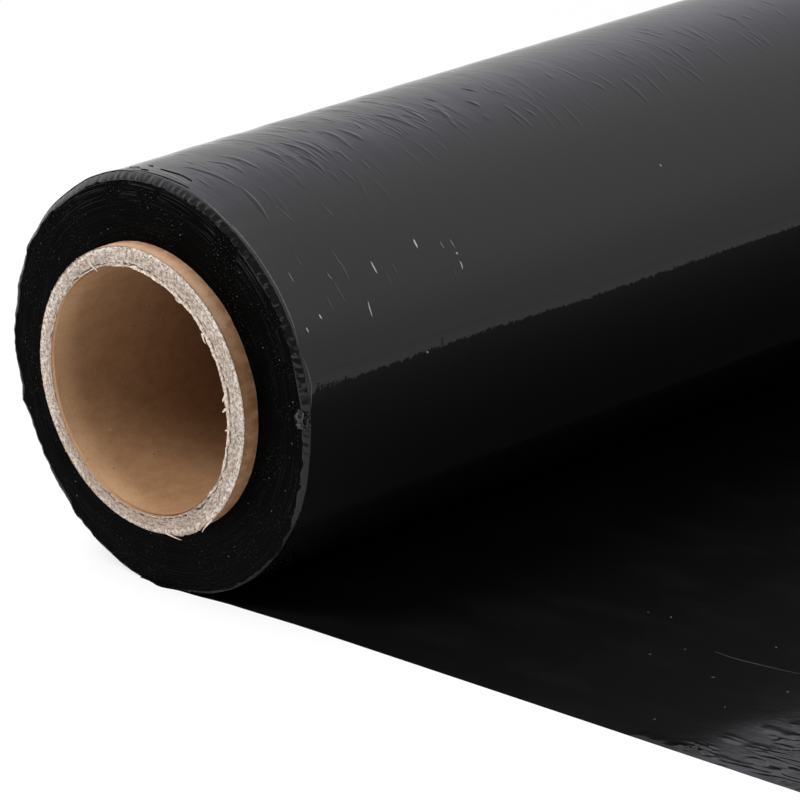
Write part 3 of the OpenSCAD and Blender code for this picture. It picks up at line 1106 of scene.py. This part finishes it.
def make_tail(film):
    half = FILM_END - TAIL_INSET
    across = stepped((0, 2.4, 0.3), (2.4, 32, 0.4), (32, 120, 4), (120, 2 * half / MM, 8))
    across = np.append(across, 2 * half) - half
    out = stepped((-FLAT_HALF / MM, 20, 1.5), (20, 100, 5), (100, 112, 2), (112, 168, 0.5),
                  (168, 260, 3), (260, 400, 5))
    x, y = np.meshgrid(np.append(out, TAIL_REACH), across, indexing="ij")
    y = y * (FILM_END - edge_inset(x)) / half
    z = FLOOR_Z + tail_height(x, y)
    top = np.stack([x, y, z + TAIL_THICK], -1)
    bottom = np.stack([x, y, z], -1)
    tail = make_piece("film_tail", *tube(np.concatenate([top, bottom[:, ::-1]], 1)), film, 60)


# A long scratch on the loose film: distances from the roll's axis and from the winding's end
SCRATCH = ((108.3, 43.3), (112.4, 43), (116.7, 43.3), (120.5, 43.8), (124.3, 44.3), (128.2, 44.9),
           (134, 46.2), (139, 47.8))


def make_scratch(grey):
    share, x, y = between(SCRATCH, 30)
    x, y = x * MM, y * MM - FILM_END
    path = np.stack([x, y, tail_top(x, y) + 0.01 * MM], -1)
    width = (0.08 + 0.1 * np.sin(math.pi * np.clip(share * 1.5, 0, 1))) * MM
    make_piece("film_scratch", *ribbon(path, to_side(path, (0, 0, 1)), (0, 0, 1), width, 0.04 * MM), grey)


# Tiny flakes on the loose film: distances from the roll's axis and from the winding's end
TAIL_FLAKES = ((99.6, 34.4), (103, 40.6), (116.6, 33.2), (121.9, 10.6), (128.1, 23.4), (132.3, 36.6),
               (115.8, 52.5), (84.5, 50.7), (89.7, 51.5))


def make_flakes(grey):
    """Tiny flakes of torn film on the loose film."""
    source = np.random.default_rng(33)
    parts = []
    for x, y in TAIL_FLAKES:
        x, y = x * MM, y * MM - FILM_END
        size, turn = source.uniform(0.25, 0.42) * MM, source.uniform(0, TURN)
        centre = np.array([x, y, tail_top(x, y) + 0.01 * MM])
        way = np.array([math.cos(turn), math.sin(turn), 0])
        side = np.array([-math.sin(turn), math.cos(turn), 0])
        path = centre + size * np.stack([-way, side * source.uniform(-0.3, 0.3), way])
        parts.append(ribbon(path, side, (0, 0, 1), np.array([0.25, 0.8, 0.3]) * size, 0.03 * MM))
    make_piece("film_flakes", *merged(parts), grey)


def make_dust(grey):
    """Specks of dust and torn film, strewn over the front end of the winding."""
    dust = Shape("film_dust", count=110, nearest=31 * MM, furthest=41 * MM, smallest=0.06 * MM,
                 more=0.18 * MM, seed=33)
    given = dust.given
    angle = dust.chance(0.0, TURN, given["seed"])
    radius = dust.chance(given["nearest"], given["furthest"], given["seed"] + 1)
    place = dust.vector(radius * angle.maths("COSINE"), -FILM_END, radius * angle.maths("SINE"))
    points = dust.node("GeometryNodePoints", {"Count": given["count"], "Position": place})
    size = given["smallest"] + given["more"] * dust.chance(0.0, 1.0, given["seed"] + 2) ** 2
    turn = dust.vector(0.0, dust.chance(0.0, TURN, given["seed"] + 3), 0.0)
    speck = dust.node("GeometryNodeMeshUVSphere", {"Segments": 6, "Rings": 4, "Radius": 1.0})
    strewn = dust.node("GeometryNodeInstanceOnPoints", {
        "Points": points, "Instance": speck, "Rotation": turn,
        "Scale": dust.vector(size, size * 0.15, size * 0.5)})
    dress(placed("film_dust", dust.mesh(strewn, grey)), "stretch_film")


# The studio

WHITE = (1, 1, 1, 1)
FLOOR_HALF = 4


def make_floor():
    """White where the camera or a reflection sees it, though dark in reflections of its front, and a plain
    matt floor that holds the shadow."""
    finish = Finish("studio_floor")
    rays = finish.node("ShaderNodeLightPath")
    mirrored = rays.out("Is Glossy Ray").maths("MAXIMUM", rays.out("Is Transmission Ray"))
    seen = rays.out("Is Camera Ray").maths("MAXIMUM", mirrored)
    paint = finish.matt((0.92, 0.92, 0.92, 1))
    level = 0.06 + 0.58 * finish.y.above(-FILM_END - 0.17, 0.14)
    glow = finish.node("ShaderNodeEmission", {"Color": WHITE, "Strength": 1 - mirrored * (1 - level)})
    mesh = bpy.data.meshes.new("studio_floor")
    corners = ((-1, -1), (1, -1), (1, 1), (-1, 1))
    mesh.from_pydata([(x * FLOOR_HALF, y * FLOOR_HALF, FLOOR_Z) for x, y in corners], [], [(0, 1, 2, 3)])
    mesh.materials.append(finish.done(finish.blend(seen * 0.75, paint, glow)))
    placed("studio_floor", mesh)


def make_world():
    """White to the camera. Reflections meet a white studio that is dark behind the camera and a little
    blue on its left, and matt surfaces are lit mostly from above."""
    world = bpy.data.worlds.new("studio")
    world.use_nodes = True
    tree = Tree(world.node_tree)
    world.node_tree.nodes.clear()
    rays = tree.node("ShaderNodeLightPath")
    seen = rays.out("Is Camera Ray").maths("MAXIMUM", rays.out("Is Transmission Ray"))
    mirrored = rays.out("Is Glossy Ray")
    way = tree.node("ShaderNodeTexCoord", out="Generated")
    x = tree.node("ShaderNodeSeparateXYZ", {0: way})
    y, z = x.out("Y"), x.out("Z")
    behind = 0.06 + 0.94 * y.above(-0.45, 0.35)
    high = 0.64 + 0.28 * z.above(0.25, 0.5)
    overhead = 0.12 + 0.5 * z.above(0.4, 1.0)
    level = seen + mirrored * behind * high + (1 - seen.maths("MAXIMUM", mirrored)) * overhead
    left = x.below(-0.12, 0.25) * x.above(-0.66, 0.1) * mirrored
    colour = tree.mix(left, WHITE, (0.97, 0.95, 1.05, 1))
    light = tree.node("ShaderNodeBackground", {"Color": colour, "Strength": level})
    tree.node("ShaderNodeOutputWorld", {"Surface": light})
    bpy.context.scene.world = world


def add_lamp(name, place, aim, size, power):
    data = bpy.data.lights.new(name, "AREA")
    data.shape = "SQUARE"
    data.size = size
    data.energy = power
    lamp = placed(name, data)
    lamp.location = place
    lamp.rotation_euler = (Vector(aim) - Vector(place)).to_track_quat("-Z", "Y").to_euler()
    lamp.visible_glossy = False
    lamp.visible_camera = False


def make_studio():
    make_floor()
    make_world()
    end = Vector((0, -FILM_END, 0))
    add_lamp("near_softbox", end + Vector((-0.1, -0.22, 0.32)), end, 0.2, 1.35)
    add_lamp("top_softbox", (-0.5, -0.1, 1.2), (0, 0, 0), 0.9, 9)
    bpy.context.scene.view_settings.view_transform = "Standard"


place_camera()
paper, film, edges, rim = paper_board(), wound_film(), film_edges(), rim_film()
make_core(paper)
make_winding(film)
for side, seed, segments in ((-1, 70, 2400), (1, 80, 900)):
    make_turns(side, edges)
    make_rim(side, rim, edges, seed, segments)
# The white and grey marks on the winding carry painted glints
grey_glint_film, scuffed = scratched_film("scratched_film", 118), scratched_film("scuffed_film", 60)
make_marks(scratched_film("stretched_film", 205, 1), grey_glint_film, scuffed, edges)
make_wrinkles(film)
make_knot(crumpled_film())
make_tail(loose_film())
make_scratch(scuffed)
dusty = scratched_film("dusty_film", 84)
make_flakes(dusty)
make_dust(dusty)
make_studio()
